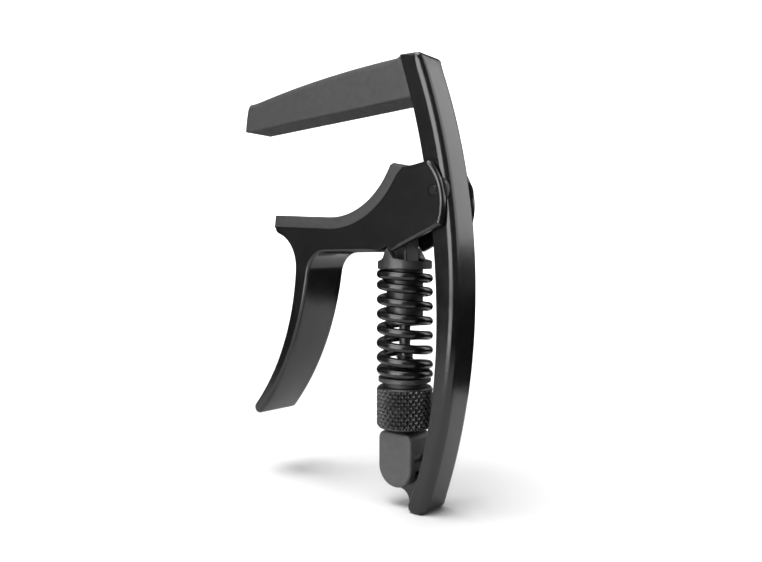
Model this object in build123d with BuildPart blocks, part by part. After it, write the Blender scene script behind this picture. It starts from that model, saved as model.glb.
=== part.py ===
"""Sprung guitar capo: spine with a rubber-sleeved string bar, squeeze lever, and a spring strut
with a knurled tension nut.

Millimetres, +Z up. The origin is the centre of the string pad's clamping face. The bar points
along -X from the spine, and every part is symmetric about the plane Y = 0 unless noted.
"""
from build123d import *
from math import cos, radians, sin
import os

# ---- driving dimensions ------------------------------------------------------------------
# widths across the capo, along Y
spine_width = 7.8
lever_width = 11.2
washer_thickness = 0.2
side_gap = 0.05                 # running clearance on each side of each washer
channel_width = spine_width + 2 * (washer_thickness + 2 * side_gap)
foot_rib_width = 2.9
block_width = 6.8

# spine outline, seen from the side as (X, Z)
spine_top_z = 8.9
spine_tip_z = -79.15
back_centre, back_radius = (-89.7, -36.6), 124.6
belly_radius_high = 156.7
belly_radius_low = 103.7
belly_z = -42.6                 # height where the two inner arcs meet
belly_x = 30.4
spine_edge_radius = 1.65
spine_top_corner = (26.2, spine_top_z)
spine_heel_corner = (26.9, spine_tip_z)
spine_toe_corner = (24.35, spine_tip_z)
toe_flare_start = (25.84, -73.0)
toe_flare_middle = (24.75, -75.2)
toe_flare_end = (23.85, -77.7)
toe_flare_foot = (24.1, -78.7)
spine_corner_radius = 1.2

# string bar
pad_width = 7.7
pad_tip_low = (-24.56, -0.41)
pad_root_low = (25.4, 0.42)
pad_root_over = (25.4, 4.0)
pad_root_high = (23.2, 8.8)
pad_tip_high = (-23.75, 5.95)
pad_top_middle = (2.5, 8.45)
pad_top_radius = 1.9
pad_tip_radius = 1.2
core_width = 4.8
core_tip_x = -22.0

# main pivot
pivot = (30.8, -17.8)
pin_radius = 1.1
pin_running_gap = 0.05
washer_radius = 2.7

# lever outline
jaw_centre = (5.37, -4.51)      # centre of the jaw's concave arc
jaw_radius = 19.5
jaw_tip = (-12.45, -22.93)
jaw_flat_end = (4.2, -23.97)
jaw_top_angle = -33.0
lever_crest = (23.9, -12.95)
lever_rear_top = (29.75, -12.15)
lever_rear_middle = (33.15, -19.9)
lever_rear_low = (32.4, -24.25)
lever_bend = (20.95, -28.85)
lever_under_start = (3.05, -28.75)
handle_inner_start = (-1.95, -33.0)
handle_inner_middle = (-7.25, -49.9)
handle_inner_end = (-17.45, -64.95)
handle_outer_end = (-19.35, -63.21)
handle_outer_middle = (-9.9, -48.7)
handle_outer_start = (-6.0, -32.5)
jaw_heel = (-11.4, -24.6)
lever_edge_radius = 0.7
lever_wall = 2.2                # wall between the jaw face and the channel below it
channel_start_x, channel_start_z = 1.5, -26.0
neck_pad_thickness = 2.45
neck_pad_width = 11.1
neck_pad_tip = (-12.05, -20.45)
neck_pad_end_angle = -27.0
neck_pad_crest = (21.5, -11.9)

# spring strut; its axis is vertical at rest
strut_x = 20.05
foot_pivot = (strut_x, -71.15)    # the block rocks about this point
knife_edge = (19.85, -28.0)     # tips of the cap's ears
notch_room = (0.1, 0.32)       # room for the ear as the lever swings
notch_front_angle = 203.0       # slope of the notch's front wall; it clears the swinging ear
notch_back_angle = -48.0

cap_radius = 5.42
cap_bottom_z = -32.3
cap_height = 8.0
cap_bore_top_z = -31.4
ear_front = (19.02, -29.21)
ear_front_hollow = (18.6, -30.0)
ear_front_foot = (17.5, -30.46)
ear_back_foot = (21.35, -30.2)
cap_front_z = -30.97
cap_back_z = -30.85
cap_recess_radius = 3.9
cap_recess_z = -31.0
sleeve_radius = 3.65
sleeve_end_z = -43.2
cap_boss_x, cap_boss_y = 3.9, 4.3
cap_boss_top_z = -26.2

wire_radius = 0.875
coil_radius = 4.75
coil_turns = 7.93
closed_turns = 1.0
closed_rise = 1.77              # just over one wire thickness, so the end coils nearly touch
ground_depth = 0.55             # taken off each end so that it sits flat
coil_start_angle = 72.0

seat_radius = 5.25
seat_top_z = -53.6
seat_flange = 1.0
seat_spigot_top_z = -51.6

stud_tip_radius = 1.12
stud_tip_top_z = -37.0
stud_radius = 1.75
stud_thread_top_z = -49.2
stud_end_z = -71.2

nut_radius = 5.58
nut_top_z = -55.5
nut_bottom_z = -63.6
nut_chamfer = 0.45
thread_gap = 0.05

thrust_washer_radius = 4.3

block_top_z = -64.35
block_half = 4.07
block_corner_radius = 1.5
block_edge_radius = 0.55
window_low_z, window_high_z = -70.05, -68.65
window_width = 4.4
window_depth = 6.2
clip_thickness = 1.24
clip_gap = 0.08
clip_length = 4.6
clip_offset = 0.75
clip_neck = 2.4
axial_gap = 0.04

cradle_radius = 3.3
cradle_gap = 0.1
lip_radius = 3.95
rib_top_angle = -16.0
lip_end_angle = -128.0
lip_thin_angle = -99.0
toe_hollow_radius = 2.22
toe_hollow_z = -77.95
groove_width = 3.1
groove_top_angle = -8.0
groove_end_angle = -136.0

os.makedirs("parts", exist_ok=True)


def polar(centre, radius, angle):
    """Point at an angle in degrees and a radius from a centre."""
    return (centre[0] + radius * cos(radians(angle)), centre[1] + radius * sin(radians(angle)))


def save(builder, name):
    """Label a finished piece and write it as a STEP file."""
    builder.part.label = name
    export_step(builder.part, f"parts/{name}.step")


def on_pad_line(point):
    """Whether a point lies along the jaw's pad seat, whose edges stay sharp."""
    flat = point.X < jaw_flat_end[0] and point.Z > jaw_tip[1] - 1.2 and point.X > jaw_tip[0] + 1
    curved = jaw_flat_end[0] < point.X < lever_crest[0] and point.Z > jaw_flat_end[1] - 0.1
    return flat or curved


def strut_plane(z):
    """Horizontal plane on the strut's axis."""
    return Plane((strut_x, 0, z))


# ---- frame: spine, bar core and foot rib -------------------------------------------------
belly_high_centre = (belly_x - belly_radius_high, belly_z)
belly_low_centre = (belly_x - belly_radius_low, belly_z)
end_over = 3.0                  # the spine is drawn past both ends, then trimmed
rib_outer_x = 25.4
core_outline = ((core_tip_x, 2.2), (25.5, 3.1), (25.5, 6.9), (core_tip_x, 4.4))


def height_on_arc(centre, radius, z):
    """X of an arc's right-hand side at height z."""
    return centre[0] + (radius**2 - (z - centre[1]) ** 2) ** 0.5


def spine_outline():
    """Spine seen from the side, drawn past its top and its tip."""
    top_z = spine_top_z + end_over
    low_z = spine_tip_z - end_over
    top_back = (height_on_arc(back_centre, back_radius, top_z), top_z)
    low_back = (height_on_arc(back_centre, back_radius, low_z), low_z)
    back_middle = (back_centre[0] + back_radius, back_centre[1])
    low_belly = (height_on_arc(belly_low_centre, belly_radius_low, low_z), low_z)
    low_middle_z = (low_z + belly_z) / 2
    low_middle = (height_on_arc(belly_low_centre, belly_radius_low, low_middle_z), low_middle_z)
    top_belly = (height_on_arc(belly_high_centre, belly_radius_high, top_z), top_z)
    top_middle_z = (top_z + belly_z) / 2
    top_middle = (height_on_arc(belly_high_centre, belly_radius_high, top_middle_z), top_middle_z)
    belly_point = (belly_x, belly_z)
    with BuildLine() as outline:
        ThreePointArc(top_back, back_middle, low_back)
        Line(low_back, low_belly)
        ThreePointArc(low_belly, low_middle, belly_point)
        ThreePointArc(belly_point, top_middle, top_belly)
        Line(top_belly, top_back)
    return outline.line


with BuildPart() as frame:
    with BuildSketch(Plane.XZ):
        add(spine_outline())
        make_face()
    extrude(amount=spine_width / 2, both=True)
    side_edges = frame.faces().filter_by(Axis.Y).edges().filter_by(GeomType.CIRCLE)
    fillet(side_edges.filter_by(lambda e: (e @ 0.5).X > 34), spine_edge_radius)

    # trim the top and the tip, with their corners rounded
    with BuildSketch(Plane.XZ) as spine_trim:
        with BuildLine():
            Polyline(
                (15, spine_top_z),
                spine_top_corner,
                (29, spine_top_z - 3.6),
                (45, spine_top_z - 3.6),
                (45, spine_tip_z + 2.2),
                (29, spine_tip_z + 2.2),
                spine_heel_corner,
                spine_toe_corner,
                (22.9, spine_tip_z + 1.9),
                (15, spine_tip_z + 1.9),
                close=True,
            )
        make_face()
        for corner in (spine_top_corner, spine_heel_corner, spine_toe_corner):
            fillet(spine_trim.vertices().sort_by_distance(corner)[0], spine_corner_radius)
    extrude(amount=spine_width, both=True, mode=Mode.INTERSECT)

    # the inner face flares slightly at the toe
    with BuildSketch(Plane.XZ):
        Polygon(
            toe_flare_start,
            toe_flare_middle,
            toe_flare_end,
            toe_flare_foot,
            (toe_flare_foot[0] + 1.4, toe_flare_foot[1]),
            (toe_flare_start[0] + 0.6, toe_flare_start[1] - 0.5),
            align=None,
        )
    extrude(amount=spine_width / 2, both=True)

    # hooked rib that carries the foot block
    rib_mouth = polar(foot_pivot, 5.0, rib_top_angle)
    lip_thin = polar(foot_pivot, lip_radius, lip_thin_angle)
    hollow_top = (foot_pivot[0], toe_hollow_z + toe_hollow_radius)
    hollow_side = (foot_pivot[0] + toe_hollow_radius, toe_hollow_z)
    with BuildSketch(Plane.XZ):
        with BuildLine():
            cradle = CenterArc(
                foot_pivot, cradle_radius, rib_top_angle, lip_end_angle - rib_top_angle
            )
            lip = CenterArc(
                foot_pivot, lip_radius, lip_end_angle, lip_thin_angle - lip_end_angle
            )
            Line(cradle @ 1, lip @ 0)
            Line(lip @ 1, hollow_top)
            CenterArc((foot_pivot[0], toe_hollow_z), toe_hollow_radius, 90, -90)
            Polyline(hollow_side, (rib_outer_x, -78.7), (27.4, -73.0), rib_mouth, cradle @ 0)
        make_face()
    extrude(amount=foot_rib_width / 2, both=True)

    # bar core inside the string pad
    with BuildSketch(Plane.XZ):
        Polygon(*core_outline, align=None)
    extrude(amount=core_width / 2, both=True)

    # pivot bore
    with BuildSketch(Plane.XZ):
        with Locations(pivot):
            Circle(pin_radius + pin_running_gap)
    extrude(amount=spine_width, both=True, mode=Mode.SUBTRACT)
save(frame, "frame")

# ---- string pad --------------------------------------------------------------------------
with BuildPart() as string_pad:
    with BuildSketch(Plane.XZ):
        with BuildLine():
            ThreePointArc(pad_tip_high, pad_top_middle, pad_root_high)
            Polyline(pad_root_high, pad_root_over, pad_root_low, pad_tip_low, pad_tip_high)
        make_face()
    extrude(amount=pad_width / 2, both=True)
    tip_corner = string_pad.edges().filter_by(Axis.Y).sort_by_distance(
        (pad_tip_high[0], 0, pad_tip_high[1])
    )[0]
    fillet(tip_corner, pad_tip_radius)
    top_edges = string_pad.faces().filter_by(Axis.Y).edges().filter_by(GeomType.CIRCLE)
    fillet(top_edges, pad_top_radius)
    # the root follows the spine's inner face, and the bar core fills the sleeve
    with BuildSketch(Plane.XZ):
        add(spine_outline())
        make_face()
    extrude(amount=pad_width, both=True, mode=Mode.SUBTRACT)
    with BuildSketch(Plane.XZ):
        Polygon(*core_outline, align=None)
    extrude(amount=core_width / 2, both=True, mode=Mode.SUBTRACT)
save(string_pad, "string_pad")

# ---- lever: jaw, cheeks and handle -------------------------------------------------------
channel_radius = jaw_radius + lever_wall
jaw_arc_start = -93.4
notch_point = (knife_edge[0] + notch_room[0], knife_edge[1] + notch_room[1])

with BuildPart() as lever:
    with BuildSketch(Plane.XZ):
        with BuildLine():
            Line(jaw_tip, jaw_flat_end)
            jaw_arc = ThreePointArc(
                jaw_flat_end,
                polar(jaw_centre, jaw_radius, (jaw_arc_start + jaw_top_angle) / 2),
                polar(jaw_centre, jaw_radius, jaw_top_angle),
            )
            TangentArc(jaw_arc @ 1, lever_crest, tangent=jaw_arc % 1)
            Line(lever_crest, lever_rear_top)
            ThreePointArc(lever_rear_top, lever_rear_middle, lever_rear_low)
            Polyline(lever_rear_low, lever_bend, lever_under_start)
            TangentArc(lever_under_start, handle_inner_start, tangent=(-1, 0))
            inner = ThreePointArc(handle_inner_start, handle_inner_middle, handle_inner_end)
            TangentArc(handle_inner_end, handle_outer_end, tangent=inner % 1)
            outer = ThreePointArc(handle_outer_end, handle_outer_middle, handle_outer_start)
            shoulder = TangentArc(handle_outer_start, jaw_heel, tangent=outer % 1)
            TangentArc(jaw_heel, jaw_tip, tangent=shoulder % 1)
        make_face()
    extrude(amount=lever_width / 2, both=True)

    # channel between the cheeks, open below and behind
    with BuildSketch(Plane.XZ):
        with BuildLine():
            roof = CenterArc(jaw_centre, channel_radius, jaw_arc_start, -18 - jaw_arc_start)
            Polyline(
                roof @ 1,
                (40, -11),
                (40, -36),
                (channel_start_x, -36),
                (channel_start_x, channel_start_z),
                roof @ 0,
            )
        make_face()
    extrude(amount=channel_width / 2, both=True, mode=Mode.SUBTRACT)

    # rounded outer edges, except along the pad
    flat_sides = lever.faces().filter_by(Axis.Y).sort_by(Axis.Y)
    rims = ShapeList(flat_sides[0].edges() + flat_sides[-1].edges())
    fillet(
        rims.filter_by(lambda e: not on_pad_line(e @ 0.5)),
        lever_edge_radius,
    )

    # notches in the cheeks' rims for the knife-edge ears
    with BuildSketch(Plane.XZ):
        Polygon(
            notch_point,
            polar(notch_point, 5, notch_front_angle),
            polar(notch_point, 5, notch_back_angle),
            align=None,
        )
    extrude(amount=lever_width, both=True, mode=Mode.SUBTRACT)

    # pin bore
    with BuildSketch(Plane.XZ):
        with Locations(pivot):
            Circle(pin_radius)
    extrude(amount=lever_width, both=True, mode=Mode.SUBTRACT)
save(lever, "lever")

# ---- neck pad ----------------------------------------------------------------------------
pad_radius = jaw_radius - neck_pad_thickness
with BuildPart() as neck_pad:
    with BuildSketch(Plane.XZ):
        with BuildLine():
            Line(jaw_tip, jaw_flat_end)
            seat_arc = ThreePointArc(
                jaw_flat_end,
                polar(jaw_centre, jaw_radius, (jaw_arc_start + jaw_top_angle) / 2),
                polar(jaw_centre, jaw_radius, jaw_top_angle),
            )
            TangentArc(seat_arc @ 1, lever_crest, tangent=seat_arc % 1)
            Polyline(lever_crest, neck_pad_crest, polar(jaw_centre, pad_radius, neck_pad_end_angle))
            ThreePointArc(
                polar(jaw_centre, pad_radius, neck_pad_end_angle),
                polar(jaw_centre, pad_radius, (jaw_arc_start + neck_pad_end_angle) / 2),
                polar(jaw_centre, pad_radius, jaw_arc_start),
            )
            Polyline(polar(jaw_centre, pad_radius, jaw_arc_start), neck_pad_tip, jaw_tip)
        make_face()
    extrude(amount=neck_pad_width / 2, both=True)
save(neck_pad, "neck_pad")

# ---- main pivot --------------------------------------------------------------------------
with BuildPart() as pivot_pin:
    with BuildSketch(Plane.XZ):
        with Locations(pivot):
            Circle(pin_radius)
    extrude(amount=lever_width / 2 - 0.03, both=True)
save(pivot_pin, "pivot_pin")

washer_inner_y = spine_width / 2 + side_gap
for side, name in ((-1, "pivot_washer_near"), (1, "pivot_washer_far")):
    washer_middle_y = side * (washer_inner_y + washer_thickness / 2)
    with BuildPart() as pivot_washer:
        with BuildSketch(Plane.XZ.offset(-washer_middle_y)):
            with Locations(pivot):
                Circle(washer_radius)
                Circle(pin_radius + pin_running_gap, mode=Mode.SUBTRACT)
        extrude(amount=washer_thickness / 2, both=True)
    save(pivot_washer, name)

# ---- spring cap --------------------------------------------------------------------------
with BuildPart() as spring_cap:
    # a round cap whose top slopes down from the two ears
    with BuildSketch(Plane.XZ):
        with BuildLine():
            cap_front_x = strut_x - cap_radius - 1
            cap_back_x = strut_x + cap_radius + 1
            Line(knife_edge, ear_front)
            ThreePointArc(ear_front, ear_front_hollow, ear_front_foot)
            Polyline(
                ear_front_foot,
                (cap_front_x, cap_front_z),
                (cap_front_x, cap_bottom_z),
                (cap_back_x, cap_bottom_z),
                (cap_back_x, cap_back_z),
                ear_back_foot,
                knife_edge,
            )
        make_face()
    extrude(amount=cap_radius, both=True)
    with BuildSketch(strut_plane(cap_bottom_z)):
        Circle(cap_radius)
    extrude(amount=cap_height, mode=Mode.INTERSECT)
    with BuildSketch(strut_plane(cap_recess_z)):
        Circle(cap_recess_radius)
    extrude(amount=cap_height, mode=Mode.SUBTRACT)
    with BuildSketch(strut_plane(cap_recess_z)):
        Rectangle(cap_boss_x, cap_boss_y)
    extrude(amount=cap_boss_top_z - cap_recess_z)
    fillet(spring_cap.faces().sort_by(Axis.Z)[-1].edges(), 0.5)
    with BuildSketch(strut_plane(sleeve_end_z)):
        Circle(sleeve_radius)
    extrude(amount=cap_bottom_z - sleeve_end_z)
    # bore for the stud's plain tip
    with BuildSketch(strut_plane(sleeve_end_z)):
        Circle(stud_tip_radius + 0.08)
    extrude(amount=cap_bore_top_z - sleeve_end_z, mode=Mode.SUBTRACT)
save(spring_cap, "spring_cap")

# ---- spring ------------------------------------------------------------------------------
coil_low_z = seat_top_z + wire_radius - ground_depth
coil_high_z = cap_bottom_z - wire_radius + ground_depth


def coil_height(turn):
    """Height of the centre line after a number of turns from the foot end."""
    open_pitch = (coil_high_z - coil_low_z - 2 * closed_rise) / (coil_turns - 2 * closed_turns)
    if turn < closed_turns:
        return coil_low_z + closed_rise * turn / closed_turns
    if turn > coil_turns - closed_turns:
        return coil_high_z - closed_rise * (coil_turns - turn) / closed_turns
    return coil_low_z + closed_rise + open_pitch * (turn - closed_turns)


def coil_point(turn):
    """Point on the spring's centre line, wound left-handed."""
    angle = radians(coil_start_angle - 360 * turn)
    return (
        strut_x + coil_radius * cos(angle),
        coil_radius * sin(angle),
        coil_height(turn),
    )


with BuildPart() as spring:
    with BuildLine() as coil:
        Spline([coil_point(n / 12) for n in range(round(12 * coil_turns) + 1)])
    with BuildSketch(Plane(coil.line @ 0, z_dir=coil.line % 0)):
        Circle(wire_radius)
    sweep(is_frenet=True)
    # ends ground flat
    with BuildSketch(strut_plane(seat_top_z)):
        Circle(coil_radius + 2 * wire_radius)
    extrude(amount=cap_bottom_z - seat_top_z, mode=Mode.INTERSECT)
save(spring, "spring")

# ---- spring seat and thrust washer -------------------------------------------------------
with BuildPart() as spring_seat:
    with BuildSketch(strut_plane(seat_top_z - seat_flange)):
        Circle(seat_radius)
    extrude(amount=seat_flange)
    with BuildSketch(strut_plane(seat_top_z)):
        Circle(sleeve_radius)
    extrude(amount=seat_spigot_top_z - seat_top_z)
    fillet(spring_seat.edges().group_by(Axis.Z)[-1], 0.3)
    with BuildSketch(strut_plane(seat_top_z - seat_flange)):
        Circle(stud_radius + thread_gap)
    extrude(amount=seat_spigot_top_z - seat_top_z + seat_flange, mode=Mode.SUBTRACT)
save(spring_seat, "spring_seat")

with BuildPart() as thrust_washer:
    with BuildSketch(strut_plane(nut_top_z + axial_gap)):
        Circle(thrust_washer_radius)
        Circle(stud_radius + thread_gap, mode=Mode.SUBTRACT)
    extrude(amount=seat_top_z - seat_flange - nut_top_z - axial_gap)
save(thrust_washer, "thrust_washer")

# ---- adjuster nut and stud ---------------------------------------------------------------
with BuildPart() as adjuster_nut:
    with BuildSketch(strut_plane(nut_bottom_z)):
        Circle(nut_radius)
        Circle(stud_radius + thread_gap, mode=Mode.SUBTRACT)
    extrude(amount=nut_top_z - nut_bottom_z)
    rim_edges = adjuster_nut.edges().filter_by(GeomType.CIRCLE).sort_by(SortBy.RADIUS)[-2:]
    chamfer(rim_edges, nut_chamfer)
save(adjuster_nut, "adjuster_nut")

with BuildPart() as adjuster_stud:
    with BuildSketch(strut_plane(stud_end_z)):
        Circle(stud_radius)
    extrude(amount=stud_thread_top_z - stud_end_z)
    with BuildSketch(strut_plane(stud_thread_top_z)):
        Circle(stud_tip_radius)
    extrude(amount=stud_tip_top_z - stud_thread_top_z)
    chamfer(adjuster_stud.edges().group_by(Axis.Z)[-1], 0.25)
    # flats that the clip slides over
    with BuildSketch(strut_plane(window_low_z)):
        Circle(stud_radius + 1)
        Rectangle(2 * stud_radius, clip_neck, mode=Mode.SUBTRACT)
    extrude(amount=window_high_z - window_low_z, mode=Mode.SUBTRACT)
save(adjuster_stud, "adjuster_stud")

# ---- foot block and stud clip ------------------------------------------------------------
block_wall_x = foot_pivot[0] + block_half
with BuildPart() as foot_block:
    with BuildSketch(Plane.XZ):
        with BuildLine():
            top_left = (foot_pivot[0] - block_half, block_top_z)
            top_right = (block_wall_x, block_top_z)
            Polyline((foot_pivot[0] - block_half, foot_pivot[1]), top_left, top_right,
                     (block_wall_x, foot_pivot[1]))
            CenterArc(foot_pivot, block_half, 0, -180)
        make_face()
    extrude(amount=block_width / 2, both=True)
    fillet(foot_block.edges().filter_by(Axis.Y).group_by(Axis.Z)[-1], block_corner_radius)
    sides = foot_block.faces().filter_by(Axis.Y)
    fillet(sides.edges(), block_edge_radius)
    # groove for the frame's rib
    with BuildSketch(Plane.XZ):
        with BuildLine():
            bearing = CenterArc(
                foot_pivot,
                cradle_radius - cradle_gap,
                groove_top_angle,
                groove_end_angle - groove_top_angle,
            )
            Polyline(
                bearing @ 1,
                polar(foot_pivot, 9, groove_end_angle),
                polar(foot_pivot, 12, -90),
                polar(foot_pivot, 9, groove_top_angle),
                bearing @ 0,
            )
        make_face()
    extrude(amount=groove_width / 2, both=True, mode=Mode.SUBTRACT)
    # stud bore and clip window
    with BuildSketch(strut_plane(stud_end_z - 0.2)):
        Circle(stud_radius + thread_gap)
    extrude(amount=block_top_z - stud_end_z + 0.2, mode=Mode.SUBTRACT)
    with BuildSketch(Plane.YZ.offset(block_wall_x)):
        with Locations((0, (window_low_z + window_high_z) / 2)):
            Rectangle(window_width, window_high_z - window_low_z)
    extrude(amount=-window_depth, mode=Mode.SUBTRACT)
save(foot_block, "foot_block")

with BuildPart() as stud_clip:
    with BuildSketch(strut_plane((window_low_z + window_high_z) / 2)):
        with Locations((clip_offset, 0)):
            Rectangle(clip_length, window_width - 2 * clip_gap)
        with Locations((stud_radius + thread_gap - clip_length, 0)):
            Rectangle(2 * clip_length, clip_neck + 0.1, mode=Mode.SUBTRACT)
    extrude(amount=clip_thickness / 2, both=True)
save(stud_clip, "stud_clip")
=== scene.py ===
from math import acos, atan2, cos, hypot, pi, radians, sin, sqrt, tan

import bmesh
import bpy
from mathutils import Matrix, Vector


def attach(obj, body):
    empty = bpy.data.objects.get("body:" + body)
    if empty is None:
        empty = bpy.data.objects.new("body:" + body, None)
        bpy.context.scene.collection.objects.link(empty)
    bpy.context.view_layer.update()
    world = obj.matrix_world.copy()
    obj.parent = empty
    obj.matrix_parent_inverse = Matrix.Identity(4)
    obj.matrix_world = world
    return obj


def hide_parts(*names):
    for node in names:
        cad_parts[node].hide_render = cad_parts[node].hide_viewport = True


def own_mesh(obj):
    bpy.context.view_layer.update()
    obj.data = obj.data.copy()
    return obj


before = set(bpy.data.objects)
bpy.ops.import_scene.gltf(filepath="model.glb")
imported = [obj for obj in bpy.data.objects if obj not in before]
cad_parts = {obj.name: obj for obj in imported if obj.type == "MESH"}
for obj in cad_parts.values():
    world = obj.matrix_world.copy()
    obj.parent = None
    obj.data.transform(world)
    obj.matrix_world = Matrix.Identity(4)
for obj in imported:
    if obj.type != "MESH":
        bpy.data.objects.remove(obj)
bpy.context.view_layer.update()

MM = 0.001


# ---- outlines, seen from the side as (x, z) in millimetres -----------------------------------
def polar(centre, radius, angle):
    """Point at an angle in degrees round a centre."""
    return (centre[0] + radius * cos(radians(angle)), centre[1] + radius * sin(radians(angle)))


def sweep_arc(centre, radius, start, turn, spacing=0.5):
    """Points along an arc that starts at an angle and turns by another, both in radians."""
    count = max(4, int(abs(turn) * radius / spacing), int(abs(turn) / radians(7)))
    angles = [start + turn * n / count for n in range(count + 1)]
    return [(centre[0] + radius * cos(a), centre[1] + radius * sin(a)) for a in angles]


def centre_arc(centre, radius, start, turn, spacing=0.5):
    """The same with the angles in degrees."""
    return sweep_arc(centre, radius, radians(start), radians(turn), spacing)


def arc_through(p, q, r):
    """Arc from p to r through q."""
    ax, ay, bx, by, cx, cy = *p, *q, *r
    d = 2 * (ax * (by - cy) + bx * (cy - ay) + cx * (ay - by))
    a2, b2, c2 = ax * ax + ay * ay, bx * bx + by * by, cx * cx + cy * cy
    ux = (a2 * (by - cy) + b2 * (cy - ay) + c2 * (ay - by)) / d
    uy = (a2 * (cx - bx) + b2 * (ax - cx) + c2 * (bx - ax)) / d
    start = atan2(ay - uy, ax - ux)
    middle = atan2(by - uy, bx - ux)
    end = atan2(cy - uy, cx - ux)
    full = 2 * pi
    turn = (end - start) % full
    if (middle - start) % full > turn:
        turn -= full
    return sweep_arc((ux, uy), hypot(ax - ux, ay - uy), start, turn)


def tangent_arc(p, heading, q):
    """Arc from p to q that leaves p along a heading in radians."""
    chord = atan2(q[1] - p[1], q[0] - p[0])
    half = (chord - heading + pi) % (2 * pi) - pi
    radius = hypot(q[0] - p[0], q[1] - p[1]) / (2 * sin(half))
    centre = (p[0] - radius * sin(heading), p[1] + radius * cos(heading))
    start = heading - pi / 2 if radius > 0 else heading + pi / 2
    return sweep_arc(centre, abs(radius), start, 2 * half)


def heading_of(points):
    """Heading at the end of a run of points."""
    (x0, y0), (x1, y1) = points[-2:]
    return atan2(y1 - y0, x1 - x0)


def circle_crossing(centre, radius, p, q):
    """Where the line from p to q crosses a circle on its right-hand side."""
    dx, dy = q[0] - p[0], q[1] - p[1]
    fx, fy = p[0] - centre[0], p[1] - centre[1]
    a, b, c = dx * dx + dy * dy, 2 * (fx * dx + fy * dy), fx * fx + fy * fy - radius * radius
    root = sqrt(b * b - 4 * a * c)
    hits = [(-b - root) / (2 * a), (-b + root) / (2 * a)]
    points = [(p[0] + t * dx, p[1] + t * dy) for t in hits]
    return max(points, key=lambda point: point[0])


def rounded(points, radius_at):
    """Rounds the corners of a closed run: radius_at maps a corner's index to its radius."""
    count = len(points)
    dropped = set()
    corners = {}
    for n, radius in radius_at.items():
        corner = Vector(points[n])
        reach = radius
        for _ in range(3):
            ends = []
            for way in (-1, 1):
                k = (n + way) % count
                while (Vector(points[k]) - corner).length < reach * 1.02 and k not in radius_at:
                    dropped.add(k)
                    k = (k + way) % count
                ends.append((Vector(points[k]) - corner).normalized())
            inside = acos(max(-1, min(1, ends[0].dot(ends[1]))))
            reach = radius / tan(inside / 2)
        corners[n] = (ends, inside, reach)
    out = []
    for n, point in enumerate(points):
        if n in dropped:
            continue
        if n not in corners:
            out.append(point)
            continue
        corner = Vector(point)
        (u, v), inside, reach = corners[n]
        a, b = corner + u * reach, corner + v * reach
        centre = corner + (u + v).normalized() * (radius_at[n] / sin(inside / 2))
        start = atan2(a.y - centre.y, a.x - centre.x)
        end = atan2(b.y - centre.y, b.x - centre.x)
        turn = (end - start + pi) % (2 * pi) - pi
        out += sweep_arc((centre.x, centre.y), radius_at[n], start, turn, 0.3)
    return out


def without_repeats(points, nearest=0.02):
    """Drops points that sit on the one before them."""
    out = []
    for point in points:
        if not out or hypot(point[0] - out[-1][0], point[1] - out[-1][1]) > nearest:
            out.append(point)
    if hypot(out[0][0] - out[-1][0], out[0][1] - out[-1][1]) < nearest:
        out.pop()
    return out


def unfolded(points):
    """Drops the points where a closed run doubles back on itself for a short way."""
    points = without_repeats(points)
    n = 0
    while n < len(points):
        before, here, after = points[n - 1], points[n], points[(n + 1) % len(points)]
        a = Vector((here[0] - before[0], here[1] - before[1]))
        b = Vector((after[0] - here[0], after[1] - here[1]))
        if a.normalized().dot(b.normalized()) < -0.8 and min(a.length, b.length) < 0.6:
            points.pop(n)
            n = max(0, n - 2)
        else:
            n += 1
    return points


def split_long(points, longest=1.2):
    """Adds points along the long straight stretches of a closed run."""
    out = []
    for n, (x0, y0) in enumerate(points):
        x1, y1 = points[(n + 1) % len(points)]
        parts = max(1, int(hypot(x1 - x0, y1 - y0) / longest))
        out += [(x0 + (x1 - x0) * k / parts, y0 + (y1 - y0) * k / parts) for k in range(parts)]
    return out


# ---- meshes ----------------------------------------------------------------------------------
def signed_area(points):
    pairs = zip(points, points[1:] + points[:1])
    return sum(a[0] * b[1] - b[0] * a[1] for a, b in pairs) / 2


def inward_normals(points):
    """Unit normals into the outline, stretched at corners so that an offset stays parallel."""
    count = len(points)
    turn = 1 if signed_area(points) > 0 else -1
    normals = []
    for n in range(count):
        x0, y0 = points[n - 1]
        x1, y1 = points[n]
        x2, y2 = points[(n + 1) % count]
        a = Vector((-(y1 - y0), x1 - x0)).normalized() * turn
        b = Vector((-(y2 - y1), x2 - x1)).normalized() * turn
        middle = (a + b).normalized()
        normals.append(middle / max(0.65, middle.dot(a)))
    return normals


def eased(values, reach, points):
    """Averages a value along a closed outline over a reach in millimetres each way."""
    count = len(values)
    out = []
    for n in range(count):
        total, weight = values[n], 1.0
        for way in (1, -1):
            gone, k = 0.0, n
            while gone < reach:
                nxt = (k + way) % count
                step = hypot(points[nxt][0] - points[k][0], points[nxt][1] - points[k][1])
                gone += step
                total += values[nxt] * step
                weight += step
                k = nxt
        out.append(total / weight)
    return out


def without_folds(outline, normals, radii):
    """Makes edge radii smaller wherever an inset of the outline would turn back on itself."""
    radii = list(radii)
    count = len(outline)
    for _ in range(40):
        inset = [(x + m.x * r, z + m.y * r) for (x, z), m, r in zip(outline, normals, radii)]
        folded = set()
        for n in range(count):
            k = (n + 1) % count
            dx, dz = outline[k][0] - outline[n][0], outline[k][1] - outline[n][1]
            ix, iz = inset[k][0] - inset[n][0], inset[k][1] - inset[n][1]
            if dx * ix + dz * iz < 0.12 * (dx * dx + dz * dz):
                folded |= {n, k}
        if not folded:
            break
        for n in folded:
            radii[n] *= 0.85
    return radii


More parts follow.
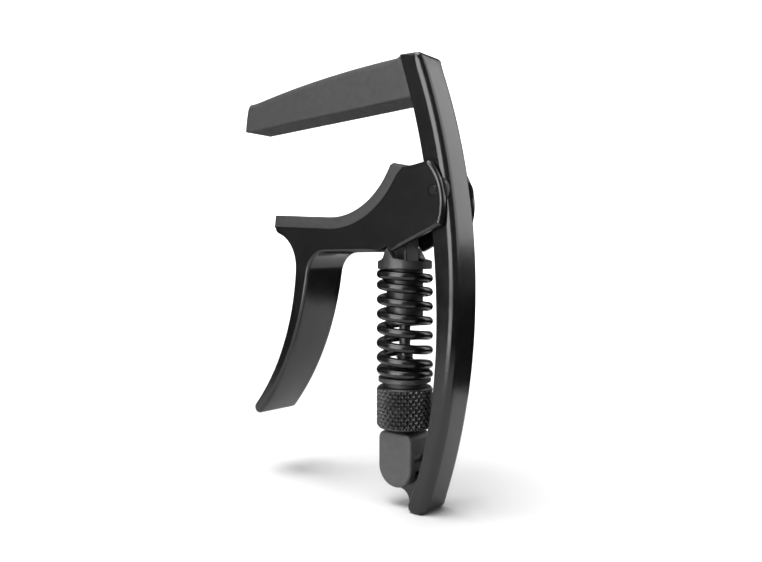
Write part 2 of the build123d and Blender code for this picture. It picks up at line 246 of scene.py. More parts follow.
def plate(outline, y_low, y_high, r_low, r_high, steps=6):
    """Solid between two planes of y, with rounded edges; the radii are one number or one per point."""
    count = len(outline)
    normals = inward_normals(outline)
    low = r_low if isinstance(r_low, list) else [r_low] * count
    high = r_high if isinstance(r_high, list) else [r_high] * count
    low, high = without_folds(outline, normals, low), without_folds(outline, normals, high)
    verts, faces = [], []
    rings = []
    for side, radii in ((-1, low), (1, high)):
        stages = range(steps + 1) if side < 0 else range(steps, -1, -1)
        for k in stages:
            share = k / steps * pi / 2
            ring = []
            for (x, z), normal, r in zip(outline, normals, radii):
                inset = r * (1 - sin(share))
                edge = y_low + r if side < 0 else y_high - r
                ring.append(len(verts))
                verts.append((x + normal.x * inset, edge + side * r * cos(share), z + normal.y * inset))
            rings.append(ring)
    for a, b in zip(rings, rings[1:]):
        for n in range(count):
            m = (n + 1) % count
            faces.append((a[n], a[m], b[m], b[n]))
    faces.append(tuple(reversed(rings[0])))
    faces.append(tuple(rings[-1]))
    return verts, faces


def lathe(profile, centre, sides=96, along="z"):
    """Solid of revolution; the profile is a closed run of (radius, height)."""
    verts, faces = [], []
    count = len(profile)
    for s in range(sides):
        a = 2 * pi * s / sides
        for r, h in profile:
            if along == "z":
                verts.append((centre[0] + r * cos(a), centre[1] + r * sin(a), h))
            else:
                verts.append((centre[0] + r * cos(a), h, centre[1] + r * sin(a)))
    for s in range(sides):
        t = (s + 1) % sides
        for n in range(count):
            m = (n + 1) % count
            faces.append((s * count + n, t * count + n, t * count + m, s * count + m))
    return verts, faces


def joined(*parts):
    """Several meshes as one."""
    verts, faces = [], []
    for v, f in parts:
        base = len(verts)
        verts += v
        faces += [tuple(i + base for i in face) for face in f]
    return verts, faces


def mesh_object(name, mesh_data):
    """A new object from millimetre vertices, with its normals facing out."""
    verts, faces = mesh_data
    mesh = bpy.data.meshes.new(name)
    mesh.from_pydata([(x * MM, y * MM, z * MM) for x, y, z in verts], [], faces)
    bm = bmesh.new()
    bm.from_mesh(mesh)
    bmesh.ops.remove_doubles(bm, verts=bm.verts, dist=1e-7)
    bmesh.ops.delete(bm, geom=[edge for edge in bm.edges if edge.is_wire], context="EDGES")
    bmesh.ops.recalc_face_normals(bm, faces=bm.faces)
    bm.to_mesh(mesh)
    bm.free()
    piece = bpy.data.objects.new(name, mesh)
    bpy.context.scene.collection.objects.link(piece)
    return piece


def cut(piece, *cutters):
    """Cuts solids out of a piece and drops the cutters."""
    for cutter in cutters:
        step = piece.modifiers.new("cut", "BOOLEAN")
        step.operation = "DIFFERENCE"
        step.solver = "EXACT"
        step.object = cutter
    bpy.context.view_layer.update()
    shaped = piece.evaluated_get(bpy.context.evaluated_depsgraph_get())
    mesh = bpy.data.meshes.new_from_object(shaped)
    piece.modifiers.clear()
    piece.data = mesh
    for cutter in cutters:
        bpy.data.objects.remove(cutter)
    return piece


def taken_back(piece):
    """A piece's mesh as millimetre vertices and faces; the piece itself goes."""
    verts = [tuple(c / MM for c in v.co) for v in piece.data.vertices]
    faces = [tuple(p.vertices) for p in piece.data.polygons]
    bpy.data.objects.remove(piece)
    return verts, faces


def finish_piece(piece, material, body, slot, *nodes, sharp=32):
    """Smooth shading with sharp creases, a material, and the piece's place in the frame."""
    mesh = piece.data
    mesh.shade_smooth()
    mesh.set_sharp_from_angle(angle=radians(sharp))
    weighted = piece.modifiers.new("normals", "WEIGHTED_NORMAL")
    weighted.keep_sharp = True
    mesh.materials.clear()
    mesh.materials.append(material)
    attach(piece, body)
    if nodes:
        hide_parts(*nodes)
    return piece


# ---- materials -------------------------------------------------------------------------------
class Look:
    """A Principled material with object coordinates and small helpers for its nodes."""

    def __init__(self, name, metallic=0.0, specular=0.5):
        self.material = bpy.data.materials.new(name)
        self.material.use_nodes = True
        self.nodes = self.material.node_tree.nodes
        self.links = self.material.node_tree.links
        self.shader = self.nodes["Principled BSDF"]
        self.shader.inputs["Metallic"].default_value = metallic
        self.shader.inputs["Specular IOR Level"].default_value = specular
        self.place = self.nodes.new("ShaderNodeTexCoord").outputs["Object"]

    def noise(self, scale, detail=3.0, rough=0.55, stretch=None):
        source = self.place
        if stretch:
            mapping = self.nodes.new("ShaderNodeMapping")
            mapping.inputs["Scale"].default_value = stretch
            self.links.new(source, mapping.inputs["Vector"])
            source = mapping.outputs["Vector"]
        node = self.nodes.new("ShaderNodeTexNoise")
        node.inputs["Scale"].default_value = scale
        node.inputs["Detail"].default_value = detail
        node.inputs["Roughness"].default_value = rough
        self.links.new(source, node.inputs["Vector"])
        return node.outputs["Fac"]

    def ramp(self, source, stops):
        node = self.nodes.new("ShaderNodeValToRGB")
        elements = node.color_ramp.elements
        while len(elements) < len(stops):
            elements.new(0.5)
        for element, (position, colour) in zip(elements, stops):
            element.position = position
            element.color = (*colour, 1) if isinstance(colour, tuple) else (colour, colour, colour, 1)
        self.links.new(source, node.inputs["Fac"])
        return node.outputs["Color"]

    def colour(self, source, stops):
        self.links.new(self.ramp(source, stops), self.shader.inputs["Base Color"])

    def roughness(self, source, stops):
        self.links.new(self.ramp(source, stops), self.shader.inputs["Roughness"])

    def bump(self, source, distance, strength=1.0, over=None):
        node = self.nodes.new("ShaderNodeBump")
        node.inputs["Distance"].default_value = distance
        node.inputs["Strength"].default_value = strength
        self.links.new(source, node.inputs["Height"])
        if over:
            self.links.new(over, node.inputs["Normal"])
        self.links.new(node.outputs["Normal"], self.shader.inputs["Normal"])
        return node.outputs["Normal"]


def cast_black(name, low, high, rough_low, rough_high):
    look = Look(name)
    look.colour(look.noise(260, 4), [(0.3, low), (0.7, high)])
    look.roughness(look.noise(420, 3), [(0.3, rough_low), (0.7, rough_high)])
    first = look.bump(look.noise(1500, 3, 0.6), 0.00002, 0.22)
    look.bump(look.noise(160, 2), 0.0001, 0.12, over=first)
    return look.material


def moulded(name, low, high, rough_low, rough_high, grain=2600, height=0.00001, strength=0.3):
    look = Look(name)
    look.colour(look.noise(500, 3), [(0.3, low), (0.7, high)])
    look.roughness(look.noise(900, 3), [(0.3, rough_low), (0.7, rough_high)])
    look.bump(look.noise(grain, 3, 0.6), height, strength)
    return look.material


def steel(name, low, high, rough_low, rough_high, stretch=(1, 1, 1)):
    look = Look(name, metallic=0.85)
    look.colour(look.noise(600, 3, stretch=stretch), [(0.3, low), (0.7, high)])
    look.roughness(look.noise(1400, 3, stretch=stretch), [(0.3, rough_low), (0.7, rough_high)])
    look.bump(look.noise(2600, 2, stretch=stretch), 0.000006, 0.3)
    return look.material


coat = cast_black("powder_coat", 0.006, 0.009, 0.16, 0.22)
coat_lever = cast_black("powder_coat_lever", 0.006, 0.009, 0.18, 0.24)
sleeve_rubber = moulded("sleeve_rubber", 0.026, 0.034, 0.55, 0.68, 1700, 0.00003, 0.5)
strip_rubber = moulded("strip_rubber", 0.022, 0.028, 0.6, 0.72)
acetal = moulded("acetal", 0.026, 0.040, 0.34, 0.48, 1500, 0.00003, 0.6)
acetal_nut = moulded("acetal_nut", 0.009, 0.013, 0.34, 0.42, 1800)
acetal_block = moulded("acetal_block", 0.075, 0.09, 0.5, 0.6, 1800)
coil_black = moulded("coil_black", 0.004, 0.006, 0.20, 0.26, 1500)
stud_steel = steel("stud_steel", 0.10, 0.16, 0.3, 0.42)
pin_black = cast_black("pin_black", 0.006, 0.010, 0.20, 0.27)
clip_steel = steel("clip_steel", 0.12, 0.18, 0.35, 0.45)
nylon = moulded("nylon", 0.012, 0.018, 0.5, 0.6)
acetal_washer = moulded("acetal_washer", 0.012, 0.018, 0.45, 0.55)


# ---- dimensions, in millimetres --------------------------------------------------------------
SPINE_HALF = 3.9
LEVER_HALF = 5.6
CHANNEL_HALF = 4.2
PAD_HALF = 3.85
NECK_HALF = 5.55
PIVOT = (30.8, -17.8)
PIN_HOLE_R = 1.1
STRUT_X = 20.05
FOOT = (STRUT_X, -71.15)

BACK_CENTRE, BACK_R = (-89.7, -36.6), 124.6
BELLY_X, BELLY_Z = 30.4, -42.6
BELLY_HIGH_R, BELLY_LOW_R = 156.7, 103.7
BELLY_HIGH = (BELLY_X - BELLY_HIGH_R, BELLY_Z)
BELLY_LOW = (BELLY_X - BELLY_LOW_R, BELLY_Z)
TOP_Z, TIP_Z = 8.9, -79.15

JAW, JAW_R = (5.37, -4.51), 19.5
JAW_START, JAW_END = -93.4, -33.0
JAW_TIP, JAW_FLAT_END = (-12.45, -22.93), (4.2, -23.97)
CREST = (23.9, -12.95)
NOTCH, NOTCH_FRONT = (19.95, -27.68), (17.2, -28.83)


# ---- frame -----------------------------------------------------------------------------------
def angle_at(centre, point):
    return atan2(point[1] - centre[1], point[0] - centre[0])


def arc_between(centre, radius, p, q):
    a, b = angle_at(centre, p), angle_at(centre, q)
    return sweep_arc(centre, radius, a, b - a, 0.8)


def spine_run():
    """Spine outline from the top's inner corner, over the top, down the back and up the belly."""
    top_in = circle_crossing(BELLY_HIGH, BELLY_HIGH_R, (0, TOP_Z), (40, TOP_Z))
    top_out = circle_crossing(BACK_CENTRE, BACK_R, (0, TOP_Z), (40, TOP_Z))
    heel = circle_crossing(BACK_CENTRE, BACK_R, (0, TIP_Z), (40, TIP_Z))
    back = arc_between(BACK_CENTRE, BACK_R, top_out, heel)
    toe = [(24.5, TIP_Z), (23.95, -78.5), (23.85, -77.7), (24.75, -75.2)]
    belly_low = arc_between(BELLY_LOW, BELLY_LOW_R, (25.84, -73.0), (BELLY_X, BELLY_Z))
    belly_high = arc_between(BELLY_HIGH, BELLY_HIGH_R, (BELLY_X, BELLY_Z), top_in)
    run = [top_in] + back + toe + belly_low + belly_high[1:-1]
    heel_at = len(back)
    radii = {1: 1.5, heel_at: 1.8, heel_at + 1: 0.9, heel_at + 2: 0.3}
    return split_long(unfolded(rounded(run, radii)), 0.8)


def spine_radii(run):
    """Edge radius along the spine: full on the outer face, small on the inner one."""
    radii = []
    for x, z in run:
        inner = BELLY_HIGH if z > BELLY_Z else BELLY_LOW
        inner_r = BELLY_HIGH_R if z > BELLY_Z else BELLY_LOW_R
        depth = hypot(x - inner[0], z - inner[1]) - inner_r
        share = min(1, max(0, (depth - 0.8) / 2.2))
        ends = min(TOP_Z - z, z - TIP_Z)
        full = 1.1 + 0.55 * min(1, ends / 2.0)
        radii.append(0.25 + (full - 0.25) * share)
    return eased(radii, 0.8, run)


def rib_run():
    mouth = polar(FOOT, 5.0, -16)
    cradle = centre_arc(FOOT, 3.3, -16, -112, 0.3)
    lip = centre_arc(FOOT, 3.95, -128, 29, 0.3)
    hollow = centre_arc((FOOT[0], -77.95), 2.22, 90, -90, 0.3)
    return without_repeats(cradle + lip + hollow + [(25.4, -78.7), (27.4, -73.0), mouth])


spine = spine_run()
radii = spine_radii(spine)
casting = mesh_object(
    "frame_casting",
    joined(
        plate(spine, -SPINE_HALF, SPINE_HALF, radii, radii, 8),
        plate(split_long(rib_run(), 0.8), -1.45, 1.45, 0.18, 0.18, 3),
    ),
)
finish_piece(casting, coat, "frame", "frame", "frame")


# ---- string pad ------------------------------------------------------------------------------
def pad_run():
    tip_low, tip_high = (-24.56, -0.41), (-23.75, 5.95)
    root_low, root_high = (25.4, 0.42), (23.2, 8.8)
    top = arc_through(tip_high, (2.5, 8.45), root_high)
    low = circle_crossing(BELLY_HIGH, BELLY_HIGH_R, tip_low, root_low)
    high = circle_crossing(BELLY_HIGH, BELLY_HIGH_R, (0, 8.72), (40, 8.76))
    top = [point for point in top if point[0] < high[0] - 0.2]
    root = arc_between(BELLY_HIGH, BELLY_HIGH_R, high, low)
    run = top + root + [tip_low]
    return split_long(unfolded(rounded(run, {0: 1.2, len(run) - 1: 0.25})), 0.7)


def pad_radii(run):
    radii = []
    for x, z in run:
        over = min(1, max(0, (x + 24.6) / 3.6))
        top = 0.95 + 0.9 * over
        share = min(1, max(0, (z - 3.2) / 2.4))
        at_root = min(1, max(0, (circle_gap(x, z)) / 0.6))
        radii.append(0.22 + (top - 0.22) * share * (0.12 + 0.88 * at_root))
    return eased(radii, 0.9, run)


def circle_gap(x, z):
    """How far a point is inside the spine's inner face."""
    return BELLY_HIGH_R - hypot(x - BELLY_HIGH[0], z - BELLY_HIGH[1])


pad = pad_run()
radii = pad_radii(pad)
sleeve = mesh_object("string_sleeve", plate(pad, -PAD_HALF, PAD_HALF, radii, radii, 8))
finish_piece(sleeve, sleeve_rubber, "frame", "string_pad", "string_pad")


# ---- lever -----------------------------------------------------------------------------------
def jaw_line():
    """Pad seat from the jaw's tip to the crest beside the spine."""
    arc = centre_arc(JAW, JAW_R, JAW_START, JAW_END - JAW_START)
    return [JAW_TIP, JAW_FLAT_END] + arc + tangent_arc(arc[-1], radians(JAW_END + 90), CREST)[1:]


def lever_run(notched):
    seat = jaw_line()
    rear = arc_through((29.75, -12.15), (33.15, -19.9), (32.4, -24.25))
    under = [(20.95, -28.85)]
    if notched:
        under = [(21.02, -28.82), NOTCH, NOTCH_FRONT]
    crook = tangent_arc((3.05, -28.75), pi, (-1.95, -33.0))
    inner = arc_through((-1.95, -33.0), (-7.25, -49.9), (-17.45, -64.95))
    tip = tangent_arc(inner[-1], heading_of(inner), (-19.35, -63.21))
    outer = arc_through((-19.35, -63.21), (-9.9, -48.7), (-6.0, -32.5))
    shoulder = tangent_arc(outer[-1], heading_of(outer), (-11.4, -24.6))
    chin = tangent_arc(shoulder[-1], heading_of(shoulder), JAW_TIP)
    run = seat + rear + under + crook + inner[1:] + tip[1:] + outer[1:] + shoulder[1:] + chin[1:-1]
    corners = {}
    for n, point in enumerate(run):
        if point == (29.75, -12.15) or point == rear[0]:
            corners[n] = 0.8
        if point == rear[-1]:
            corners[n] = 0.7
        if point == CREST:
            corners[n] = 0.4
        if point == NOTCH_FRONT:
            corners[n] = 0.3
        if point == NOTCH:
            corners[n] = 0.15
    return split_long(unfolded(rounded(run, corners)), 0.8)


def near_seat(point):
    x, z = point
    flat = -11.3 < x < 4.2 and z > -24.3
    curved = 4.2 <= x < 24.2 and z > -24.2 and hypot(x - JAW[0], z - JAW[1]) < JAW_R + 0.6
    crest = 20 < x < 24.3 and z > -17.5
    return flat or curved or crest


def in_channel(point):
    """Whether a point of the outline is on the cheeks' free rims."""
    x, z = point
    return x > 2.2 and hypot(x - JAW[0], z - JAW[1]) > JAW_R + 2.6


def channel_run():
    roof = centre_arc(JAW, JAW_R + 2.2, JAW_START, -18 - JAW_START)
    return without_repeats(roof + [(40, -11), (40, -36), (1.5, -36), (1.5, -26.0)])


def at_notch(point):
    x, z = point
    return 16.6 < x < 21.6 and z < -27.3


def edge_radius(point):
    if near_seat(point):
        return 0.1
    return 0.12 if at_notch(point) else 0.7


cheek = lever_run(True)
outer_radii = eased([edge_radius(p) for p in cheek], 0.9, cheek)
inner_radii = eased([0.55 if in_channel(p) else 0.0 for p in cheek], 0.8, cheek)
whole = lever_run(False)
core = mesh_object("lever_core", plate(whole, -CHANNEL_HALF - 0.02, CHANNEL_HALF + 0.02, 0.0, 0.0, 1))
channel = mesh_object("channel", plate(split_long(channel_run(), 1.0), -5, 5, 0.0, 0.0, 1))
cut(core, channel)
near = mesh_object("near_cheek", plate(cheek, -LEVER_HALF, -CHANNEL_HALF, outer_radii, inner_radii, 7))
far = mesh_object("far_cheek", plate(cheek, CHANNEL_HALF, LEVER_HALF, inner_radii, outer_radii, 7))
bore_profile = [(0.0, -7.0), (PIN_HOLE_R, -7.0), (PIN_HOLE_R, 7.0), (0.0, 7.0)]
for side in (near, far):
    cut(side, mesh_object("bore", lathe(bore_profile, PIVOT, 48, "y")))
cheeks = [taken_back(near), taken_back(far)]
lever = mesh_object("lever_casting", joined(*cheeks, taken_back(core)))
finish_piece(lever, coat_lever, "lever", "lever", "lever")


# ---- neck pad --------------------------------------------------------------------------------
def neck_run():
    radius = JAW_R - 2.45
    seat = jaw_line()
    face = centre_arc(JAW, radius, -27.0, JAW_START + 27.0)
    run = seat + [(21.5, -11.9)] + face + [(-12.05, -20.45)]
    crest_at = len(seat)
    return split_long(unfolded(rounded(run, {crest_at: 0.35, len(run) - 1: 0.3})), 0.7)


strip = neck_run()
strip_radii = [0.08 if hypot(x - JAW[0], z - JAW[1]) > JAW_R - 0.3 else 0.45 for x, z in strip]
strip_radii = eased(strip_radii, 0.5, strip)
neck = mesh_object("neck_strip", plate(strip, -NECK_HALF, NECK_HALF, strip_radii, strip_radii, 5))
finish_piece(neck, strip_rubber, "lever", "neck_pad", "neck_pad")


# ---- main pivot ------------------------------------------------------------------------------
pin_profile = [(0.0, -5.57), (0.86, -5.57), (1.06, -5.4), (1.06, 5.4), (0.86, 5.57), (0.0, 5.57)]
pin = mesh_object("pivot_pin_flush", lathe(pin_profile, PIVOT, 48, "y"))
finish_piece(pin, pin_black, "lever", "pivot_pin", "pivot_pin")


# ---- spring cap ------------------------------------------------------------------------------
def box_between(low, high, edge=0.0):
    """Box with its corners in x and z rounded a little."""
    run = [(low[0], low[2]), (high[0], low[2]), (high[0], high[2]), (low[0], high[2])]
    run = rounded(run, {n: max(edge, 0.05) for n in range(4)})
    return plate(split_long(run, 1.0), low[1], high[1], edge, edge, 4)


EAR = (
    [(19.85, -28.0), (19.02, -29.21)]
    + arc_through((19.02, -29.21), (18.6, -30.0), (17.5, -30.46))[1:]
    + [(14.0, -31.02), (14.0, -32.3), (26.2, -32.3), (26.2, -30.93), (21.35, -30.2)]
)


def ear_top(x):
    """Height of the ear's outline over a place in x."""
    hits = []
    for (x0, z0), (x1, z1) in zip(EAR, EAR[1:] + EAR[:1]):
        if min(x0, x1) <= x <= max(x0, x1) and abs(x1 - x0) > 1e-6:
            hits.append(z0 + (z1 - z0) * (x - x0) / (x1 - x0))
    return max(hits)


def crown():
    """Cap ring whose wall rises into the two ears, with a round recess inside."""
    radius, inner, floor_level, bottom = 5.42, 3.9, -31.0, -32.3
    xs = sorted({19.85, *[STRUT_X - radius + 2 * radius * n / 88 for n in range(89)]})
    around = [(x, -1) for x in xs] + [(x, 1) for x in reversed(xs[1:-1])]
    verts, faces = [], []
    count = len(around)
    for x, side in around:
        reach = min(1.0, max(-1.0, (x - STRUT_X) / radius))
        a = acos(reach)
        top = ear_top(x)
        for r, z in (
            (inner, bottom + 0.02), (radius - 0.2, bottom), (radius, bottom + 0.2),
            (radius, top - 0.1), (radius - 0.1, top), (inner, top), (inner, floor_level),
        ):
            verts.append((STRUT_X + r * cos(a), side * r * sin(a), z))
    for n in range(count):
        m = (n + 1) % count
        for k in range(7):
            j = (k + 1) % 7
            faces.append((n * 7 + k, m * 7 + k, m * 7 + j, n * 7 + j))
    return verts, faces


cap_profile = [
    (1.2, -43.2), (3.45, -43.2), (3.65, -43.0), (3.65, -32.3), (4.3, -32.3), (4.3, -31.0),
    (0.4, -31.0), (0.4, -31.5), (1.2, -31.6),
]
boss = box_between((STRUT_X - 1.95, -2.15, -31.1), (STRUT_X + 1.95, 2.15, -26.2), 0.35)
cap = mesh_object("spring_cap_moulding", joined(lathe(cap_profile, (STRUT_X, 0)), boss, crown()))
finish_piece(cap, acetal, "cap", "cap", "spring_cap")


# ---- spring ----------------------------------------------------------------------------------
WIRE_R, COIL_R, TURNS = 0.875, 4.75, 7.93
SPRING_LOW, SPRING_HIGH = -53.6, -32.3
CLOSED, RISE, GROUND = 1.0, 1.77, 0.55
SPRING_START = 72


def coil_height(turn):
    low, high = SPRING_LOW + WIRE_R - GROUND, SPRING_HIGH - WIRE_R + GROUND
    pitch = (high - low - 2 * RISE) / (TURNS - 2 * CLOSED)
    if turn < CLOSED:
        return low + RISE * turn / CLOSED
    if turn > TURNS - CLOSED:
        return high - RISE * (TURNS - turn) / CLOSED
    return low + RISE + pitch * (turn - CLOSED)


def smooth_height(turn):
    """Height with the change of pitch eased over a third of a turn."""
    spread = [coil_height(min(TURNS, max(0, turn + d / 30))) for d in range(-5, 6)]
    return sum(spread) / len(spread)


def coil(first, last, per_turn=72, sides=24):
    """Wire from one turn count to another, its ends cut square."""
    count = round((last - first) * per_turn)
    verts, faces = [], []
    for n in range(count + 1):
        turn = first + (last - first) * n / count
        a = radians(SPRING_START) - 2 * pi * turn
        rise = (smooth_height(turn + 0.01) - smooth_height(turn - 0.01)) / 0.02
        out = Vector((cos(a), sin(a), 0))
        along = Vector((2 * pi * COIL_R * sin(a), -2 * pi * COIL_R * cos(a), rise)).normalized()
        across = along.cross(out)
        middle = Vector((STRUT_X, 0, smooth_height(turn))) + out * COIL_R
        for s in range(sides):
            b = 2 * pi * s / sides
            x, y, z = middle + out * (WIRE_R * cos(b)) + across * (WIRE_R * sin(b))
            verts.append((x, y, min(SPRING_HIGH, max(SPRING_LOW, z))))
    for n in range(count):
        for s in range(sides):
            t = (s + 1) % sides
            faces.append((n * sides + s, n * sides + t, (n + 1) * sides + t, (n + 1) * sides + s))
    faces.append(tuple(range(sides)))
    faces.append(tuple(reversed(range(count * sides, (count + 1) * sides))))
    return verts, faces


lower = mesh_object("spring_lower", coil(0, TURNS / 2))
upper = mesh_object("spring_upper", coil(TURNS / 2, TURNS))
finish_piece(lower, coil_black, "seat", "spring", "spring")
finish_piece(upper, coil_black, "foot", "spring", "spring")
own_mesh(lower)
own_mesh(upper)


# ---- seat, nut and stud ----------------------------------------------------------------------
seat_profile = [
    (1.8, -54.6), (5.1, -54.6), (5.25, -54.45), (5.25, -53.72), (5.13, -53.6), (3.65, -53.6),
    (3.65, -51.85), (3.4, -51.6), (1.8, -51.6),
]
seat = mesh_object("spring_seat_moulding", lathe(seat_profile, (STRUT_X, 0)))
finish_piece(seat, acetal, "seat", "seat", "spring_seat")


def triangle_wave(x):
    """Rises from 0 to 1 and falls back over each whole number."""
    return 1 - abs(2 * (x % 1) - 1)


def knurled_nut():
    """Nut with a diamond knurl between two plain chamfered rims."""
    top, bottom, radius, depth = -55.5, -63.6, 5.58, 0.42
    divisions, rise, around, rows = 29, 1.46, 29 * 14, 76
    verts, faces = [], []
    for row in range(rows + 1):
        z = bottom + (top - bottom) * row / rows
        from_end = min(z - bottom, top - z)
        rim = min(0.0, from_end - 0.45) * 0.95
        fade = min(1.0, max(0.0, (from_end - 0.25) / 0.25))
        for k in range(around):
            share = k / around
            a = triangle_wave(share * divisions + z / rise)
            b = triangle_wave(share * divisions - z / rise)
            height = min(1.0, 1.5 * min(a, b))
            r = radius + rim - depth * (1 - height) * fade
            verts.append((STRUT_X + r * cos(2 * pi * share), r * sin(2 * pi * share), z))
    for row in range(rows):
        for k in range(around):
            m = (k + 1) % around
            low, high = row * around, (row + 1) * around
            faces.append((low + k, low + m, high + m, high + k))
    bores = []
    for z, base in ((bottom, 0), (top, rows * around)):
        first = len(verts)
        bores.append(first)
        for k in range(around):
            a = 2 * pi * k / around
            verts.append((STRUT_X + 1.8 * cos(a), 1.8 * sin(a), z))
        for k in range(around):
            m = (k + 1) % around
            faces.append((base + k, base + m, first + m, first + k))
    low, high = bores
    for k in range(around):
        m = (k + 1) % around
        faces.append((low + k, high + k, high + m, low + m))
    return verts, faces


nut = mesh_object("adjuster_nut_knurled", knurled_nut())
finish_piece(nut, acetal_nut, "nut", "nut", "adjuster_nut", sharp=50)


def threaded(low, high, radius, pitch, depth, sides=40, per_pitch=8):
    """Outside of a screw thread with plain ends."""
    rows = round((high - low) / pitch * per_pitch)
    verts, faces = [], []
    for row in range(rows + 1):
        z = low + (high - low) * row / rows
        fade = min(1, (high - z) / 0.5, (z - low) / 0.5)
        for k in range(sides):
            share = k / sides
            wave = triangle_wave(z / pitch - share)
            r = radius - depth * (1 - min(1, 1.25 * wave)) * fade - 0.15 * (1 - fade)
            verts.append((STRUT_X + r * cos(2 * pi * share), r * sin(2 * pi * share), z))
    for row in range(rows):
        for k in range(sides):
            m = (k + 1) % sides
            faces.append((row * sides + k, row * sides + m, (row + 1) * sides + m, (row + 1) * sides + k))
    faces.append(tuple(reversed(range(sides))))
    faces.append(tuple(range(rows * sides, (rows + 1) * sides)))
    return verts, faces


tip_profile = [(0.0, -49.4), (1.12, -49.4), (1.12, -37.25), (0.87, -37.0), (0.0, -37.0)]
shank_profile = [(0.0, -71.2), (1.72, -71.2), (1.72, -63.9), (0.0, -63.9)]
stud = mesh_object(
    "adjuster_stud_threaded",
    joined(
        threaded(-64.1, -49.2, 1.75, 0.6, 0.34),
        lathe(tip_profile, (STRUT_X, 0), 48),
        lathe(shank_profile, (STRUT_X, 0), 48),
    ),
)
finish_piece(stud, stud_steel, "foot", "stud", "adjuster_stud")


# ---- foot block ------------------------------------------------------------------------------
def block_run():
    left, right, top = FOOT[0] - 4.07, FOOT[0] + 4.07, -64.35
    run = [(left, top), (right, top)] + centre_arc(FOOT, 4.07, 0, -180, 0.4)
    return split_long(unfolded(rounded(run, {0: 1.5, 1: 1.5})), 0.8)


def groove_run():
    bearing = centre_arc(FOOT, 3.2, -8, -128, 0.3)
    return bearing + [polar(FOOT, 9, -136), polar(FOOT, 12, -90), polar(FOOT, 9, -8)]


block = mesh_object("foot_block_moulding", plate(block_run(), -3.4, 3.4, 0.55, 0.55, 5))
groove = mesh_object("groove", plate(groove_run(), -1.55, 1.55, 0.0, 0.0, 1))
wall_x = FOOT[0] + 4.07
window = mesh_object("window", plate(
    [(wall_x - 6.2, -70.05), (wall_x + 1, -70.05), (wall_x + 1, -68.65), (wall_x - 6.2, -68.65)],
    -2.2, 2.2, 0.0, 0.0, 1,
))
cut(block, groove, window)
finish_piece(block, acetal_block, "foot", "block", "foot_block")


# ---- pieces kept from the CAD ----------------------------------------------------------------
for node, material in (
    ("pivot_washer_near", acetal_washer),
    ("pivot_washer_far", acetal_washer),
    ("thrust_washer", nylon),
    ("stud_clip", clip_steel),
):
    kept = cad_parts[node]
    for material_slot in kept.material_slots:
        material_slot.material = material


# ---- floor, light and camera -----------------------------------------------------------------
FLOOR_Z = TIP_Z * MM
FLOOR_REACH = 40.0
COVE_START, COVE_R, WALL_HEIGHT = 1.2, 0.9, 3.0
VIEW_HEADING = radians(40.2)
AHEAD = Vector((-sin(VIEW_HEADING), cos(VIEW_HEADING), 0))
ASIDE = Vector((cos(VIEW_HEADING), sin(VIEW_HEADING), 0))

# the large floor curves up into the backdrop; only the small one beside the capo is reflected
profile = [(-FLOOR_REACH, FLOOR_Z), (COVE_START, FLOOR_Z)]
for step in range(6, 91, 6):
    a = radians(step)
    profile.append((COVE_START + COVE_R * sin(a), FLOOR_Z + COVE_R * (1 - cos(a))))
profile.append((COVE_START + COVE_R, FLOOR_Z + WALL_HEIGHT))
floor_verts = []
for distance, z in profile:
    for offset in (-FLOOR_REACH, FLOOR_REACH):
        point = AHEAD * distance + ASIDE * offset
        floor_verts.append((point.x, point.y, z))
floor_faces = [(2 * n, 2 * n + 1, 2 * n + 3, 2 * n + 2) for n in range(len(profile) - 1)]
floor_mesh = bpy.data.meshes.new("floor")
floor_mesh.from_pydata(floor_verts, [], floor_faces)
floor_mesh.shade_smooth()
floor = bpy.data.objects.new("floor", floor_mesh)
bpy.context.scene.collection.objects.link(floor)
paper = Look("paper", specular=0.2)
paper.colour(paper.noise(3, 2), [(0.3, 0.90), (0.7, 0.93)])
paper.roughness(paper.noise(8, 2), [(0.3, 0.85), (0.7, 0.95)])
floor_mesh.materials.append(paper.material)
floor.location.z = -0.00003
floor.visible_glossy = False

NEAR_SIDES = 96
NEAR_BEHIND, NEAR_ASIDE, NEAR_IN_FRONT = 0.09, 0.133, 0.5
near_rim = []
for n in range(NEAR_SIDES):
    reach = NEAR_BEHIND if n < 49 else NEAR_ASIDE
    if 65 <= n <= 80:
        reach = NEAR_IN_FRONT
    a = 2 * pi * n / NEAR_SIDES
    near_rim.append((reach * cos(a), reach * sin(a), FLOOR_Z))
near_mesh = bpy.data.meshes.new("floor_near")
near_mesh.from_pydata(near_rim, [], [tuple(range(NEAR_SIDES))])
near_mesh.materials.append(paper.material)
floor_near = bpy.data.objects.new("floor_near", near_mesh)
bpy.context.scene.collection.objects.link(floor_near)


def staged(forward, side, up):
    """A place given by distance ahead of the camera's view, to its right, and up."""
    point = AHEAD * forward + ASIDE * side
    return (point.x, point.y, up)


def towards(angle, distance, height):
    """A place round the object: the angle is measured from +X towards +Y."""
    return (distance * cos(radians(angle)), distance * sin(radians(angle)), height)


def soft_box(name, place, target, width, height, radiance):
    """Rectangular studio light of a given brightness, out of the camera's own view."""
    data = bpy.data.lights.new(name, "AREA")
    data.shape = "RECTANGLE"
    data.size, data.size_y = width, height
    data.energy = radiance * pi * width * height
    lamp = bpy.data.objects.new(name, data)
    lamp.location = place
    lamp.rotation_euler = (Vector(target) - Vector(place)).to_track_quat("-Z", "Y").to_euler()
    lamp.visible_camera = False
    bpy.context.scene.collection.objects.link(lamp)
    return lamp


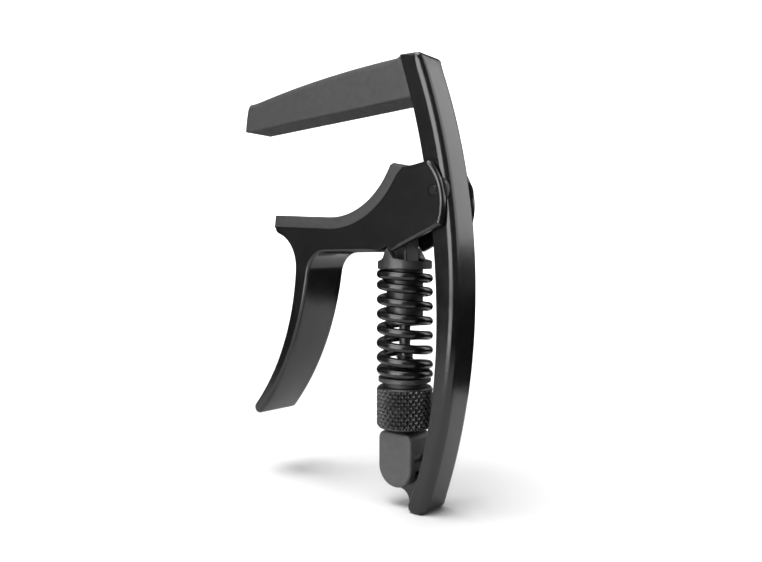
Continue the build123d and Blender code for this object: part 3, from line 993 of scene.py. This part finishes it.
middle = (0.008, 0, -0.035)
soft_box("top_box", staged(-0.1, -0.15, 0.75), middle, 0.6, 0.6, 7.5)
soft_box("back_wash", staged(0.6, 0.0, 1.1), staged(1.9, 0, 0.5), 2.6, 1.0, 7.5)
front_box = soft_box("front_box", towards(-88, 0.9, 0.3), middle, 0.84, 0.8, 6.5)
front_box.visible_diffuse = False
side_box = soft_box("side_box", towards(40, 1.0, 0.58), (0, 0, 0.58), 1.35, 1.0, 2.6)
side_box.visible_diffuse = False
front_wash = soft_box("front_wash", (0.02, -0.36, 0.2), (0.02, -0.36, -0.08), 0.14, 0.3, 14.0)
front_wash.data.spread = radians(40)
front_wash.visible_glossy = False

# the sky is even and turns black a little below the horizon, which darkens the low reflections
SKY_STRENGTH, SKY_DIP, SKY_EDGE = 0.18, 0.03, 0.004
world = bpy.data.worlds.new("studio")
world.use_nodes = True
sky = world.node_tree.nodes
direction = sky.new("ShaderNodeTexCoord")
split = sky.new("ShaderNodeSeparateXYZ")
lift = sky.new("ShaderNodeMath")
lift.operation = "ADD"
lift.inputs[1].default_value = SKY_DIP
shade = sky.new("ShaderNodeValToRGB")
shade.color_ramp.elements[0].position = 0.0
shade.color_ramp.elements[0].color = (0.0, 0.0, 0.0, 1)
shade.color_ramp.elements[1].position = SKY_EDGE
shade.color_ramp.elements[1].color = (1, 1, 1, 1)
for source, target in (
    (direction.outputs["Generated"], split.inputs["Vector"]),
    (split.outputs["Z"], lift.inputs[0]),
    (lift.outputs["Value"], shade.inputs["Fac"]),
    (shade.outputs["Color"], sky["Background"].inputs["Color"]),
):
    world.node_tree.links.new(source, target)
sky["Background"].inputs["Strength"].default_value = SKY_STRENGTH
bpy.context.scene.world = world

SENSOR, FOCAL_SHARE, LOOKING_DOWN = 36, 700 / 762, 1.27
camera_data = bpy.data.cameras.new("camera")
camera_data.sensor_width = SENSOR
camera_data.lens = SENSOR * FOCAL_SHARE
camera_data.clip_start = 0.005
camera = bpy.data.objects.new("camera", camera_data)
camera.location = (0.10622, -0.1093, -0.03157)
camera.rotation_euler = (radians(90 - LOOKING_DOWN), 0, VIEW_HEADING)
bpy.context.scene.collection.objects.link(camera)
bpy.context.scene.camera = camera
bpy.context.scene.view_settings.view_transform = "Standard"
